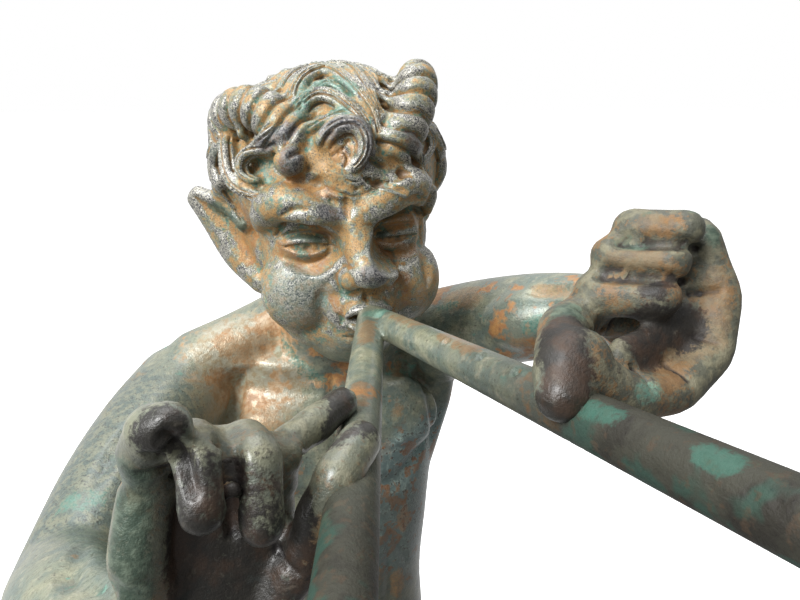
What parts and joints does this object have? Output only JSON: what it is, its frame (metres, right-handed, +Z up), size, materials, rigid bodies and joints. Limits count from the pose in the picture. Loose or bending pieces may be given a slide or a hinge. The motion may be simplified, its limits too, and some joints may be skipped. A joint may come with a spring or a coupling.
{
  "type": "bronze satyr statuette",
  "caption": "Bronze satyr with goat's legs, ridged horns and curly hair, blowing a V-shaped double pipe held out in both hands, on a low round base.",
  "frame": {"origin": "centre of the plinth's flat underside", "axes": "+Z up through the figure; the satyr faces -Y and his left side is +X"},
  "size_m": [0.076, 0.1216, 0.2103],
  "materials": {
    "figure_bronze": "glossy patinated bronze, grey-green with orange-brown hollows and turquoise patches",
    "pipe_bronze": "glossy patinated bronze, olive with brown and turquoise patches",
    "plinth_bronze": "patinated bronze, dark grey-green"
  },
  "bodies": {
    "root": {"satyr_figure": "figure_bronze", "double_pipe": "pipe_bronze", "plinth": "plinth_bronze"}
  },
  "joints": []
}
